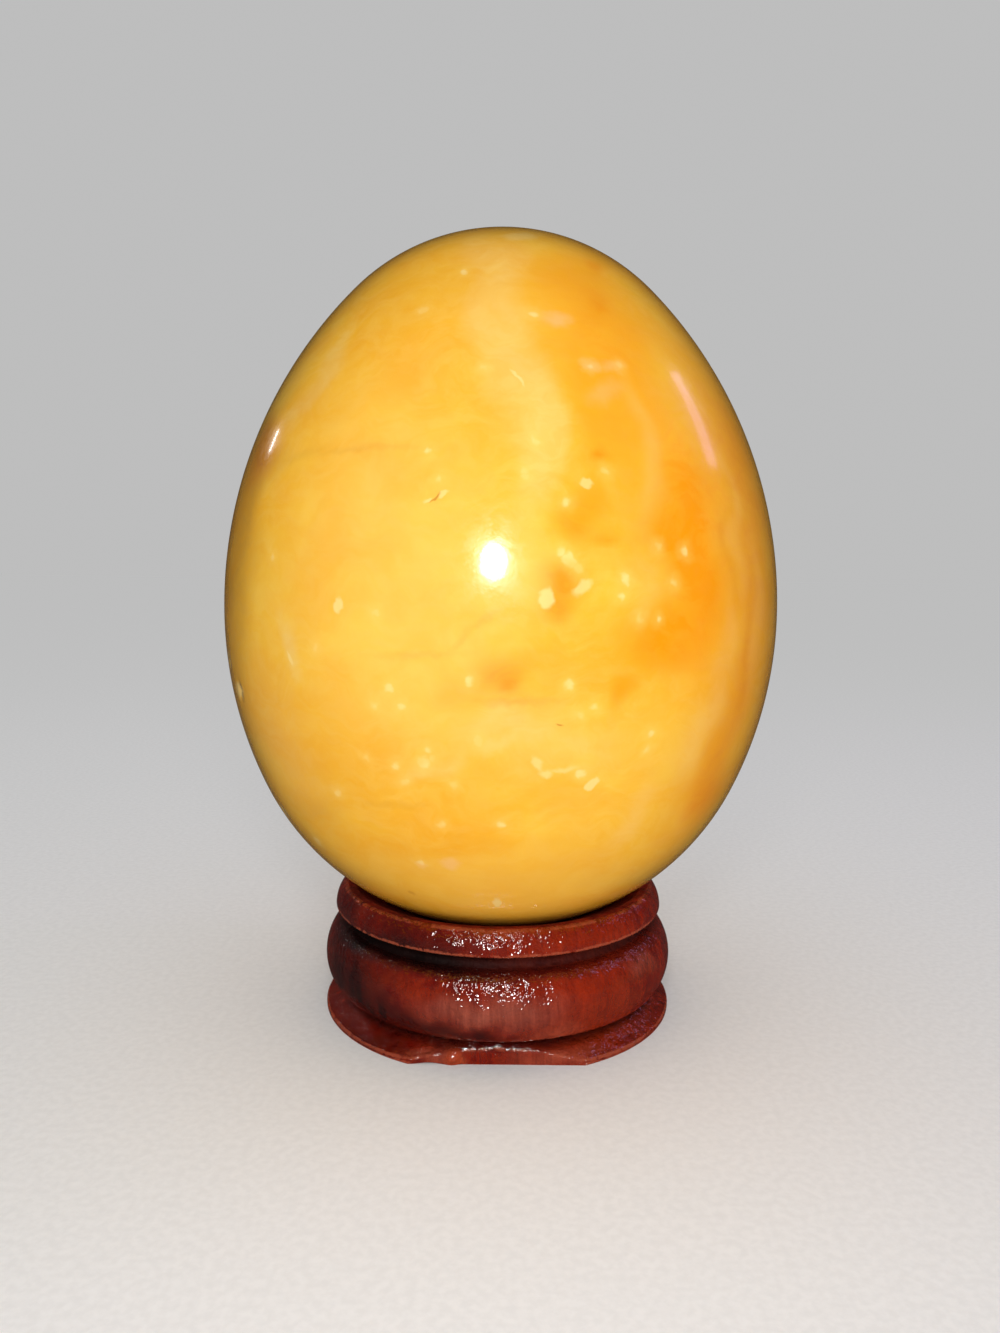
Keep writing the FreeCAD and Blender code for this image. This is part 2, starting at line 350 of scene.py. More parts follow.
# How the streaks break up the patches, and from where to where the painted shade in a hollow sets
# in.
WOOD_BREAKS = (0.4, 0.78)
HOLLOW_BENDS = (0.05, 0.6)

# The painted shade in the cove: heights in mm between which it fades in from below and from above,
# and the places from the right to the left between which it grows from its least share to all.
COVE_BELOW = (8.6, 9.9)
COVE_ABOVE = (11.6, 11.2)
COVE_ACROSS = (14.0, -6.0)
COVE_LEAST = 0.45

# The painted shade in the groove fades in between these distances in mm, up to this share.
GROOVE_REACH = (1.5, 0.45)
GROOVE_SHARE = 0.85

# The lacquer's skin, as on the stone, and its shine; the seat inside the rim is dull.
LACQUER_GRAIN = 1.15
LACQUER_ROUGH = (0.04, 0.1)
LACQUER_RELIEF = (1.0, 0.85)
LACQUER_IOR = 1.9
LACQUER_SHINE, LACQUER_DULLNESS = 0.95, 0.0
SEAT_SHINE, SEAT_DULLNESS = 0.12, 0.6
SEAT_MARGIN = 0.22

# The floor and the room, as they are lit, seen and mirrored.
FLOOR_SIDE = 6.0
FLOOR_SHADE = 0.9
FLOOR_SPECKLE = 0.03
FLOOR_ROUGHNESS = 0.8
FLOOR_MIRRORED = 0.06
FILL_LEVEL = 0.57
ROOM_MIRRORED = 0.02

# The flash by the lens: the photo pixel where the egg mirrors it, then mm, watts and tint.
FLASH_SEEN = (495, 562)
FLASH_SIDE = 18
FLASH_WATTS = 0.0295
FLASH_TINT = (1.0, 0.98, 0.95)

# The softbox before the egg, in mm and watts; it isn't mirrored.
SOFTBOX_PLACE = (70, -400, 112)
SOFTBOX_SIDE = 120
SOFTBOX_WATTS = 0.087
SOFTBOX_SPREAD = math.radians(70.0)
LAMP_AIM = (0, 0, 42)

# The strips that the egg's shoulders mirror: the ends of the streak as photo pixels, then
# width in mm, watts and tint. Both hang at STRIP_REACH mm from the egg.
STRIPS = (
    ("right_strip", ((674, 372), (713, 464)), 27.0, 0.017, (0.75, 0.5, 1.0)),
    ("left_strip", ((279, 430), (269, 452)), 5.0, 0.0045, (1.0, 1.0, 1.0)),
)
STRIP_REACH = 260.0
STRIP_AIM = Vector((0, 0, 50))


# Camera


def place_camera():
    """The camera of the photo, in the object's own frame."""
    bpy.ops.object.camera_add(location=[v * MM for v in CAMERA_PLACE])
    camera = bpy.context.object
    camera.name = "photo_camera"
    turn = Matrix.Rotation(CAMERA_TILT, 3, "X") @ Matrix.Rotation(CAMERA_ROLL, 3, "Z")
    camera.rotation_euler = turn.to_euler()
    camera.data.lens = PHOTO_FOCUS_PIXELS * FILM_SIDE / PHOTO_HEIGHT
    camera.data.sensor_width = FILM_SIDE
    camera.data.clip_start = CAMERA_NEAR * MM
    camera.data.clip_end = CAMERA_FAR * MM
    bpy.context.scene.camera = camera
    bpy.context.view_layer.update()
    return camera, turn


def sight_line(photo_x, photo_y):
    """Where the line of sight through a photo pixel starts, and which way it runs."""
    across = (photo_x - PHOTO_WIDTH / 2) / PHOTO_FOCUS_PIXELS
    down = (photo_y - PHOTO_HEIGHT / 2) / PHOTO_FOCUS_PIXELS
    way = camera_turn @ Vector((across, -down, -1.0))
    return camera.location.copy(), way.normalized()


def touch(piece, photo_x, photo_y):
    """The point and normal of a piece under a photo pixel, in millimetres."""
    start, way = sight_line(photo_x, photo_y)
    hit, place, normal, _ = piece.ray_cast(start, way)
    if not hit:
        return None
    return place / MM, normal


# Outlines


def oval_end_radius(depth, reach, join):
    """Radius of an oval's end arc from its half length, half width and join angle."""
    share = math.tan(join / 2)
    return (reach - depth * share) / (1 - share)


def arc(centre, radius, start, end, steps):
    """Points along an arc in the outline's plane, without its first point."""
    turns = np.linspace(start, end, steps + 1)[1:]
    return [
        (centre[0] + radius * math.cos(t), centre[1] + radius * math.sin(t))
        for t in turns
    ]


def arc_between(start, end, radius, side, steps):
    """An arc from start to end that bulges to the right (+1) or left (-1) of the way."""
    start, end = np.array(start), np.array(end)
    chord = end - start
    length = np.hypot(*chord)
    across = np.array((chord[1], -chord[0])) / length * side
    back = math.sqrt(radius**2 - (length / 2) ** 2)
    centre = (start + end) / 2 - across * back
    first = math.atan2(*(start - centre)[::-1])
    last = math.atan2(*(end - centre)[::-1])
    turn = (last - first + math.pi) % (2 * math.pi) - math.pi
    return arc(centre, radius, first, first + turn, steps)


def line(start, end, steps):
    """Points along a straight line, without its first point."""
    shares = np.linspace(0, 1, steps + 1)[1:]
    return [tuple(np.array(start) * (1 - s) + np.array(end) * s) for s in shares]


def ease(points, corner, cut):
    """Rounds the outline's corner over the length cut on both of its sides."""
    points = [np.array(p) for p in points]
    at = min(range(len(points)), key=lambda i: np.hypot(*(points[i] - corner)))

    def walk(way):
        left, here, i = cut, points[at], at
        while True:
            i = (i + way) % len(points)
            step = np.hypot(*(points[i] - here))
            if step >= left:
                return here + (points[i] - here) * left / step, i
            left, here = left - step, points[i]

    before, first = walk(-1)
    after, last = walk(1)
    turned = []
    for s in np.linspace(0, 1, EASE_STEPS + 1):
        turned.append(before * (1 - s) ** 2 + points[at] * 2 * s * (1 - s) + after * s**2)
    kept, i = [], last
    while True:
        kept.append(points[i])
        if i == first:
            break
        i = (i + 1) % len(points)
    return turned + kept


def turn_piece(name, outline, steps, closed):
    """Draws an outline corner by corner from one point and spins it round the axis."""
    start = outline[0]
    bpy.ops.mesh.primitive_plane_add(size=MM, location=(start[0] * MM, 0, start[1] * MM))
    piece = bpy.context.object
    piece.name = name
    piece.data.name = name
    bpy.ops.object.mode_set(mode="EDIT")
    bpy.ops.mesh.merge(type="CENTER")
    here = start
    corners = list(outline[1:]) + ([start] if closed else [])
    for corner in corners:
        step = ((corner[0] - here[0]) * MM, 0, (corner[1] - here[1]) * MM)
        bpy.ops.mesh.extrude_vertices_move(TRANSFORM_OT_translate={"value": step})
        here = corner
    bpy.ops.mesh.select_all(action="SELECT")
    bpy.ops.mesh.remove_doubles(threshold=MERGE_GAP * MM)
    bpy.ops.object.mode_set(mode="OBJECT")
    bpy.ops.object.transform_apply(location=True, rotation=True, scale=True)
    bpy.ops.object.modifier_add(type="SCREW")
    lathe = piece.modifiers[-1]
    lathe.axis = "Z"
    lathe.angle = 2 * math.pi
    lathe.steps = lathe.render_steps = steps
    lathe.use_merge_vertices = True
    lathe.merge_threshold = MERGE_GAP * MM
    bpy.ops.object.modifier_apply(modifier=lathe.name)
    bpy.ops.object.mode_set(mode="EDIT")
    bpy.ops.mesh.select_all(action="SELECT")
    bpy.ops.mesh.remove_doubles(threshold=MERGE_GAP * MM)
    bpy.ops.mesh.normals_make_consistent(inside=False)
    bpy.ops.object.mode_set(mode="OBJECT")
    return piece


def egg_outline():
    """The egg's half outline from its blunt end up to its crown."""
    girth = EGG_FOOT_HEIGHT + EGG_HEIGHT * EGG_GIRTH_SHARE
    points = [(0.0, EGG_FOOT_HEIGHT)]
    below = EGG_HEIGHT * EGG_GIRTH_SHARE
    above = EGG_HEIGHT - below
    for depth, join, way in ((below, EGG_BASE_JOIN, -1), (above, EGG_CROWN_JOIN, 1)):
        end = oval_end_radius(depth, EGG_GIRTH_RADIUS, join)
        side = end + (depth - end) / math.sin(join)
        end_centre = (0.0, girth + way * (depth - end))
        side_centre = (EGG_GIRTH_RADIUS - side, girth)
        quarter = math.pi / 2
        if way < 0:
            points += arc(end_centre, end, -quarter, -join, EGG_ARC_STEPS[0])
            points += arc(side_centre, side, -join, 0.0, EGG_ARC_STEPS[3])
        else:
            points += arc(side_centre, side, 0.0, join, EGG_ARC_STEPS[1])
            points += arc(end_centre, end, join, quarter, EGG_ARC_STEPS[2])
    return [(max(r, 0.0), z) for r, z in points]


def stand_outline():
    """The ring stand's section, round from the foot up the outside and down the bore."""
    bead_depth = BEAD_RADIUS - NECK_RADIUS
    half = BEAD_CREST - BEAD_FOOT
    end = oval_end_radius(half, bead_depth, BEAD_JOIN)
    side = end + (half - end) / math.sin(BEAD_JOIN)
    face = (BEAD_RADIUS - side, BEAD_CREST)
    quarter = math.pi / 2
    cove = BEAD_TOP + COVE_RADIUS
    corner = {
        "underside": (FOOT_RADIUS, 0.0),
        "edge": (FOOT_RADIUS, FOOT_EDGE),
        "lip": (LIP_RADIUS, LIP_HEIGHT),
        "rim": (RIM_RADIUS, RIM_HEIGHT),
        "mouth": (SEAT_MOUTH_RADIUS, RIM_HEIGHT),
        "seat": (BORE_RADIUS, SEAT_FOOT_HEIGHT),
        "bore": (BORE_RADIUS, BORE_CHAMFER),
        "ground": (BORE_RADIUS + BORE_CHAMFER, 0.0),
    }
    steps = STAND_STEPS
    groove = (FOOT_GROOVE_RADIUS, BEAD_FOOT)
    points = [corner["underside"]]
    points += line(points[-1], corner["edge"], steps["edge"])
    points += arc_between(points[-1], groove, FOOT_HOLLOW, -1, steps["hollow"])
    points += line(points[-1], (NECK_RADIUS, BEAD_FOOT), steps["shelf"])
    low, high = (NECK_RADIUS, BEAD_FOOT + end), (NECK_RADIUS, BEAD_TOP - end)
    points += arc(low, end, -quarter, -BEAD_JOIN, steps["bead end"])
    points += arc(face, side, -BEAD_JOIN, BEAD_JOIN, steps["bead"])
    points += arc(high, end, BEAD_JOIN, quarter, steps["bead end"])
    points += arc((NECK_RADIUS, cove), COVE_RADIUS, -quarter, -3 * quarter, steps["cove"])
    points += line(points[-1], corner["lip"], steps["lip"])
    points += arc_between(points[-1], corner["rim"], BAND_ROUND, 1, steps["band"])
    points += line(points[-1], corner["mouth"], steps["rim"])
    points += line(points[-1], corner["seat"], steps["seat"])
    points += line(points[-1], corner["bore"], steps["bore"])
    points += line(points[-1], corner["ground"], steps["chamfer"])
    points += line(points[-1], corner["underside"], steps["underside"])[:-1]
    for at, length in EASED_CORNERS:
        points = ease(points, corner[at], length)
    return points


# Work by hand


def edit(piece):
    """Makes a piece active with nothing on it selected, ready for a pick of its points."""
    bpy.context.view_layer.objects.active = piece
    piece.select_set(True)
    bpy.ops.object.mode_set(mode="EDIT")
    bpy.ops.mesh.select_mode(type="VERT")
    bpy.ops.mesh.select_all(action="DESELECT")
    bpy.ops.object.mode_set(mode="OBJECT")


def values_of(items, label, width):
    """One value of every vertex, edge or face of a mesh, as rows of the given width."""
    rows = np.empty(len(items) * width)
    items.foreach_get(label, rows)
    return rows.reshape(-1, width)


def pick(piece, chosen):
    """Selects the vertices for which chosen(places in mm) is true and stays in edit mode."""
    mesh = piece.data
    flags = chosen(values_of(mesh.vertices, "co", 3) / MM)
    mesh.vertices.foreach_set("select", flags.astype(bool))
    mesh.update()
    bpy.ops.object.mode_set(mode="EDIT")


def done():
    """Leaves edit mode with the piece deselected."""
    bpy.ops.mesh.select_all(action="DESELECT")
    bpy.ops.object.mode_set(mode="OBJECT")


def push(piece, place, way, reach):
    """Moves the surface near a place by way, fading out over reach, all in mm."""
    edit(piece)

    def nearest(places):
        gap = np.linalg.norm(places - np.array(place), axis=1)
        return gap <= gap.min()

    pick(piece, nearest)
    bpy.ops.transform.translate(
        value=[v * MM for v in way],
        use_proportional_edit=True,
        proportional_edit_falloff="SMOOTH",
        proportional_size=reach * MM,
    )
    done()


# Pieces


def make_egg():
    """The polished egg, with the few nicks that show on its skin."""
    egg = turn_piece("polished_egg", egg_outline(), EGG_TURN_STEPS, False)
    for nick_x, nick_y, depth, reach in EGG_NICKS:
        found = touch(egg, nick_x, nick_y)
        if found:
            place, normal = found
            push(egg, place, -normal * depth, reach)
    return egg


def saw_flat(stand):
    """Cuts the flat on the foot's front: a cut line, then what lies beyond is pressed flat."""
    edit(stand)

    def foot(places):
        far = np.hypot(places[:, 0], places[:, 1]) > BORE_RADIUS + BORE_CHAMFER - BORE_MARGIN
        return (places[:, 2] < BEAD_FOOT - BEAD_MARGIN) & far

    def beyond(places):
        low = places[:, 2] < BEAD_FOOT - BEAD_MARGIN
        return (places[:, 1] < -FLAT_DISTANCE) & low

    pick(stand, foot)
    bpy.ops.mesh.bisect(
        plane_co=(0, -FLAT_DISTANCE * MM, 0),
        plane_no=(0, -1, 0),
        threshold=FLAT_MERGE_GAP * MM,
    )
    bpy.ops.object.mode_set(mode="OBJECT")
    pick(stand, beyond)
    bpy.ops.transform.resize(
        value=(1, 0, 1), center_override=(0, -FLAT_DISTANCE * MM, 0)
    )
    bpy.ops.mesh.select_all(action="SELECT")
    bpy.ops.mesh.remove_doubles(threshold=FLAT_MERGE_GAP * MM)
    bpy.ops.mesh.dissolve_degenerate(threshold=FLAT_MERGE_GAP * MM)
    bpy.ops.mesh.normals_make_consistent(inside=False)
    done()


def wear_flat(stand):
    """Takes the sharpness off the sawn edge by smoothing the points along it."""
    edit(stand)

    def along_edge(places):
        near = np.abs(places[:, 1] + FLAT_DISTANCE) < WORN_REACH
        return near & (places[:, 2] < BEAD_FOOT) & (places[:, 2] > WORN_FROM)

    pick(stand, along_edge)
    bpy.ops.mesh.vertices_smooth(factor=WORN_SHARE, repeat=WORN_ROUNDS)
    done()


def make_stand():
    """The turned ring stand with its sawn flat, drip and chips."""
    stand = turn_piece("ring_stand", stand_outline(), STAND_TURN_STEPS, True)
    saw_flat(stand)
    wear_flat(stand)
    for mark_x, mark_y, way, reach in STAND_MARKS:
        found = touch(stand, mark_x, mark_y)
        if found:
            push(stand, found[0], way, reach)
    return stand


def store_colours(mesh, name, colours):
    """Keeps one colour for each vertex under a name that the materials read."""
    layer = mesh.color_attributes.new(name, "FLOAT_COLOR", "POINT")
    layer.data.foreach_set("color", colours.ravel())


def paint_bends(piece):
    """Stores how far each vertex stands out (red) or lies in a hollow (green)."""
    mesh = piece.data
    count = len(mesh.vertices)
    places = values_of(mesh.vertices, "co", 3) / MM
    normals = values_of(mesh.vertices, "normal", 3)
    ends = np.empty(len(mesh.edges) * 2, dtype=int)
    mesh.edges.foreach_get("vertices", ends)
    a, b = ends.reshape(-1, 2).T
    step = places[b] - places[a]
    gap = np.maximum((step**2).sum(axis=1), LEAST_GAP)
    bend = np.zeros(count)
    touching = np.zeros(count)
    for here, way in ((a, step), (b, -step)):
        lift = (normals[here] * way).sum(axis=1) / gap
        np.add.at(bend, here, lift)
        np.add.at(touching, here, 1)
    bend = -2 * bend / np.maximum(touching, 1)
    for _ in range(BEND_ROUNDS):
        spread = np.zeros(count)
        np.add.at(spread, a, bend[b])
        np.add.at(spread, b, bend[a])
        bend = bend * 0.5 + spread / np.maximum(touching, 1) * 0.5
    colours = np.zeros((count, 4))
    colours[:, 0] = np.clip(bend / FULL_BEND, 0, 1)
    colours[:, 1] = np.clip(-bend / FULL_BEND, 0, 1)
    colours[:, 3] = 1
    store_colours(mesh, "bends", colours)


# Tools for the materials


def paint(red, green, blue):
    """A colour read as 0-255 screen values, turned into the shader's linear ones."""
    shares = [v / 255 for v in (red, green, blue)]
    linear = [s / 12.92 if s <= 0.04045 else ((s + 0.055) / 1.055) ** 2.4 for s in shares]
    return (*linear, 1.0)


class Recipe:
    """A node tree being written: sockets are joined to inputs, other values are set."""

    def __init__(self, tree):
        self.tree = tree
        self.ins = None

    def feed(self, socket, value):
        """Joins a socket to an input, or sets the input to a value."""
        if isinstance(value, bpy.types.NodeSocket):
            self.tree.links.new(value, socket)
        elif value is not None:
            socket.default_value = value

    def add(self, kind, feeds=(), **settings):
        """A node of a kind, with its settings and what feeds its inputs."""
        node = self.tree.nodes.new(kind)
        for key, value in settings.items():
            setattr(node, key, value)
        for at, value in dict(feeds).items():
            self.feed(node.inputs[at], value)
        return node

    def maths(self, operation, a, b=None, c=None, clamp=False):
        """A sum on single values."""
        feeds = {0: a, 1: b, 2: c}
        return self.add("ShaderNodeMath", feeds, operation=operation, use_clamp=clamp).outputs[0]

    def vectors(self, operation, a, b=None, scale=None):
        """A sum on vectors."""
        node = self.add("ShaderNodeVectorMath", {0: a, 1: b}, operation=operation)
        if scale is not None:
            self.feed(node.inputs["Scale"], scale)
        return node.outputs["Value" if operation in SINGLE_RESULTS else 0]

    def remap(self, value, low, high, to_low=0.0, to_high=1.0):
        """A soft step from to_low at low to to_high at high."""
        feeds = {0: value, 1: low, 2: high, 3: to_low, 4: to_high}
        node = self.add("ShaderNodeMapRange", feeds, interpolation_type="SMOOTHSTEP")
        return node.outputs[0]

    def noise(self, place, scale, detail=2.0, rough=0.5, twist=0.0):
        """The outputs of a noise: its value first, and its colour."""
        feeds = {
            "Vector": place,
            "Scale": scale,
            "Detail": detail,
            "Roughness": rough,
            "Distortion": twist,
        }
        return self.add("ShaderNodeTexNoise", feeds).outputs

    def mix(self, share, a, b):
        """Colour a going over to colour b by a share."""
        node = self.add("ShaderNodeMix", data_type="RGBA", blend_type="MIX")
        for at, value in ((0, share), (6, a), (7, b)):
            self.feed(node.inputs[at], value)
        return node.outputs[2]

    def stain(self, colour, tone, mask, share=1.0):
        """A colour tinted by a tone where the mask is bright, as far as the share says."""
        if share != 1.0:
            mask = self.maths("MULTIPLY", mask, share)
        return self.mix(mask, colour, paint(*tone))

    def ramp(self, value, stops):
        """A colour ramp through the tones of its stops."""
        node = self.add("ShaderNodeValToRGB", {0: value})
        marks = node.color_ramp.elements
        while len(marks) < len(stops):
            marks.new(0.5)
        for mark, (at, tone) in zip(marks, stops):
            mark.position = at
            mark.color = paint(*tone)
        return node.outputs[0]

    def split(self, vector):
        """The three parts of a vector."""
        return self.add("ShaderNodeSeparateXYZ", {0: vector}).outputs

    def join(self, x, y, z):
        """A vector from its three parts."""
        return self.add("ShaderNodeCombineXYZ", {0: x, 1: y, 2: z}).outputs[0]

    def painted(self, name):
        """The colour and the alpha that are stored on the piece's vertices."""
        return self.add("ShaderNodeAttribute", attribute_name=name).outputs

    def use(self, group, **feeds):
        """The outputs of a shared group, placed with its own values."""
        node = self.add("ShaderNodeGroup", node_tree=group)
        for name, value in feeds.items():
            self.feed(node.inputs[name.replace("_", " ").capitalize()], value)
        return node.outputs

    def give(self, **outputs):
        """What a shared group puts out."""
        node = self.tree.nodes.new("NodeGroupOutput")
        for name, value in outputs.items():
            self.feed(node.inputs[name.capitalize()], value)


SINGLE_RESULTS = ("LENGTH", "DOT_PRODUCT", "DISTANCE")
SOCKETS = {"vector": "NodeSocketVector", "value": "NodeSocketFloat"}

# The middle of a noise's colour, which is taken off so that it swings both ways.
MIDDLE = (0.5, 0.5, 0.5)


def start_group(name, vectors, values, gives, given="value"):
    """A shared node group that takes vectors, then values, and gives outputs of one kind."""
    tree = bpy.data.node_groups.new(name, "ShaderNodeTree")
    sockets = [(label, "INPUT", "vector") for label in vectors]
    sockets += [(label, "INPUT", "value") for label in values]
    sockets += [(label, "OUTPUT", given) for label in gives]
    for label, side, kind in sockets:
        tree.interface.new_socket(label, in_out=side, socket_type=SOCKETS[kind])
    recipe = Recipe(tree)
    recipe.ins = tree.nodes.new("NodeGroupInput").outputs
    return recipe


def start_material(name):
    """A material with its shader, and the place on the piece in millimetres."""
    material = bpy.data.materials.new(name)
    material.use_nodes = True
    recipe = Recipe(material.node_tree)
    recipe.tree.nodes.clear()
    shader = recipe.add("ShaderNodeBsdfPrincipled")
    out = recipe.add("ShaderNodeOutputMaterial")
    recipe.tree.links.new(shader.outputs[0], out.inputs[0])
    spot = recipe.add("ShaderNodeTexCoord").outputs["Object"]
    place = recipe.vectors("SCALE", spot, scale=1 / MM)
    return material, recipe, shader, place


# Groups that materials share


def wander_group():
    """Moves a place about by a soft noise, so that edges drawn from it wander."""
    g = start_group("wander", ["Place"], ["Size", "Reach"], ["Place"], "vector")
    size = g.maths("DIVIDE", 1.0, g.ins["Size"])
    swings = g.noise(g.ins["Place"], size, 2.0, 0.55)["Color"]
    swing = g.vectors("SUBTRACT", swings, MIDDLE)
    moved = g.vectors("SCALE", swing, scale=g.maths("MULTIPLY", g.ins["Reach"], 2.0))
    g.give(place=g.vectors("ADD", g.ins["Place"], moved))
    return g.tree


def spot_group():
    """The mask of one soft-edged oval spot; its three half sizes divide its directions."""
    ways = ["Along", "Across", "Out"]
    g = start_group("laid spot", ["Place", "Centre", *ways], ["Softness"], ["Mask"])
    gap = g.vectors("SUBTRACT", g.ins["Place"], g.ins["Centre"])
    shares = [g.vectors("DOT_PRODUCT", gap, g.ins[way]) for way in ways]
    far = g.vectors("LENGTH", g.join(*shares))
    outer = g.maths("ADD", 1.0, g.ins["Softness"])
    inner = g.maths("SUBTRACT", 1.0, g.ins["Softness"])
    g.give(mask=g.remap(far, outer, inner))
    return g.tree


def cloud_group():
    """Slow milky clouds with finer wisps drawn out through them."""
    g = start_group("stone clouds", ["Place"], ["Size"], ["Clouds", "Wisps"])
    bend_reach = 9.0
    drawn_out = (1.0, 1.0, 2.6)
    size = g.maths("DIVIDE", 1.0, g.ins["Size"])
    bent = g.noise(g.ins["Place"], size, 3.0, 0.5)["Color"]
    bend = g.vectors("SCALE", g.vectors("SUBTRACT", bent, MIDDLE), scale=bend_reach)
    flow = g.vectors("ADD", g.ins["Place"], bend)
    clouds = g.noise(flow, g.maths("MULTIPLY", size, 0.9), 4.0, 0.55)[0]
    drawn = g.vectors("MULTIPLY", flow, drawn_out)
    wisps = g.noise(drawn, g.maths("MULTIPLY", size, 1.9), 5.0, 0.62)[0]
    g.give(clouds=g.remap(clouds, 0.3, 0.7), wisps=g.remap(wisps, 0.35, 0.68))
    return g.tree


def crumb_group():
    """Small pale crumbs scattered through the stone where Where is bright."""
    g = start_group("scattered crumbs", ["Place"], ["Spacing", "Where"], ["Mask"])
    largest = 0.24
    softness = 0.05
    scale = g.maths("DIVIDE", 1.0, g.ins["Spacing"])
    cells = g.add("ShaderNodeTexVoronoi", {"Vector": g.ins["Place"], "Scale": scale}).outputs
    lots = g.split(cells["Color"])
    size = g.remap(lots[0], 0.5, 1.0, 0.0, largest)
    mask = g.remap(g.maths("SUBTRACT", size, cells["Distance"]), 0.0, softness)
    g.give(mask=g.maths("MULTIPLY", mask, g.ins["Where"]))
    return g.tree


def skin_group():
    """The slight unevenness of a polished or lacquered skin: height and roughness."""
    values = ["Grain", "Rough low", "Rough high"]
    g = start_group("uneven skin", ["Place"], values, ["Height", "Roughness"])
    size = g.maths("DIVIDE", 1.0, g.ins["Grain"])
    dimples = g.noise(g.ins["Place"], size, 3.0, 0.6)[0]
    waves = g.noise(g.ins["Place"], g.maths("MULTIPLY", size, 0.22), 2.0, 0.5)[0]
    smears = g.noise(g.ins["Place"], g.maths("MULTIPLY", size, 0.4), 4.0, 0.7, 1.2)[0]
    height = g.maths("MULTIPLY_ADD", waves, 0.5, g.maths("MULTIPLY", dimples, 0.5))
    rough = g.remap(smears, 0.3, 0.72, g.ins["Rough low"], g.ins["Rough high"])
    g.give(height=height, roughness=rough)
    return g.tree


def grain_group():
    """Wood grain that stands up and down: long streaks, fine lines and open pores."""
    g = start_group("standing grain", ["Place"], [], ["Streaks", "Lines", "Pores"])
    sway = 1.6
    grain_length = (1.0, 1.0, 0.07)
    pore_length = (1.0, 1.0, 0.3)
    bent = g.noise(g.ins["Place"], 0.12, 2.0, 0.5)["Color"]
    flow = g.vectors("ADD", g.ins["Place"], g.vectors("SCALE", bent, scale=sway))
    long = g.vectors("MULTIPLY", flow, grain_length)
    streaks = g.noise(long, 0.62, 4.0, 0.6)[0]
    lines = g.noise(long, 2.6, 3.0, 0.65)[0]
    cells = g.vectors("MULTIPLY", flow, pore_length)
    pores = g.add("ShaderNodeTexVoronoi", {"Vector": cells, "Scale": 2.4}).outputs["Distance"]
    g.give(
        streaks=g.remap(streaks, 0.33, 0.68),
        lines=g.remap(lines, 0.36, 0.66),
        pores=g.remap(pores, 0.22, 0.05),
    )
    return g.tree


def wear_group():
    """Edges that stand out, broken up, where the lacquer has worn thin."""
    g = start_group("worn edges", ["Place"], ["Bend", "Amount"], ["Wear"])
    chips = g.noise(g.ins["Place"], 1.6, 4.0, 0.7)[0]
    slow = g.noise(g.ins["Place"], 0.25, 2.0, 0.5)[0]
    bias = g.maths("MULTIPLY_ADD", slow, 0.5, g.maths("MULTIPLY", chips, 0.75))
    edge = g.maths("MULTIPLY", g.ins["Bend"], g.remap(bias, 0.45, 0.72, 0.15, 1.7))
    g.give(wear=g.maths("MULTIPLY", g.remap(edge, 0.22, 0.8), g.ins["Amount"], clamp=True))
    return g.tree


# Marks laid from the photo's camera


def laid(piece, photo_x, photo_y, long, short, tilt, depth=1.0):
    """Centre of an oval seen at a photo pixel, and its three directions over half sizes."""
    found = touch(piece, photo_x, photo_y)
    if not found:
        return None
    centre, normal = found
    cos, sin = math.cos(math.radians(tilt)), math.sin(math.radians(tilt))
    lengths, ways = [], []
    for way_x, way_y in ((cos, -sin), (-sin, -cos)):
        for side in (PROBE_PIXELS, -PROBE_PIXELS):
            near = touch(piece, photo_x + way_x * side, photo_y + way_y * side)
            if near and (near[0] - centre).length < PROBE_LIMIT:
                ways.append((near[0] - centre) * math.copysign(1, side))
                lengths.append((near[0] - centre).length / PROBE_PIXELS)
                break
        else:
            return None
    out = normal.normalized()
    along = (ways[0] - out * ways[0].dot(out)).normalized()
    across = out.cross(along)
    halves = (lengths[0] * long, lengths[1] * short)
    return centre, along / halves[0], across / halves[1], out / (max(halves) * depth)


def lay_spots(recipe, piece, place, marks):
    """One mask for a list of marks: photo pixel, half sizes in pixels, tilt, softness, strength."""
    whole = None
    for *spot, soft, strength in marks:
        found = laid(piece, *spot)
        if not found:
            continue
        labels = ("centre", "along", "across", "out")
        feeds = {label: tuple(value) for label, value in zip(labels, found)}
        mask = recipe.use(SPOT, place=place, softness=soft, **feeds)[0]
        if strength != 1.0:
            mask = recipe.maths("MULTIPLY", mask, strength)
        whole = mask if whole is None else recipe.maths("MAXIMUM", whole, mask)
    return whole


def lay_crumbs(recipe, piece, place, crumbs):
    """Distance in mm from the nearest round crumb's edge; each is a photo pixel and a radius."""
    nearest = None
    for photo_x, photo_y, radius in crumbs:
        found = laid(piece, photo_x, photo_y, radius, radius, 0)
        if not found:
            continue
        centre, along, across, _ = found
        size = min(1 / along.length, 1 / across.length)
        gap = recipe.vectors("DISTANCE", place, tuple(centre))
        edge = recipe.maths("SUBTRACT", gap, size)
        nearest = edge if nearest is None else recipe.maths("MINIMUM", nearest, edge)
    return nearest


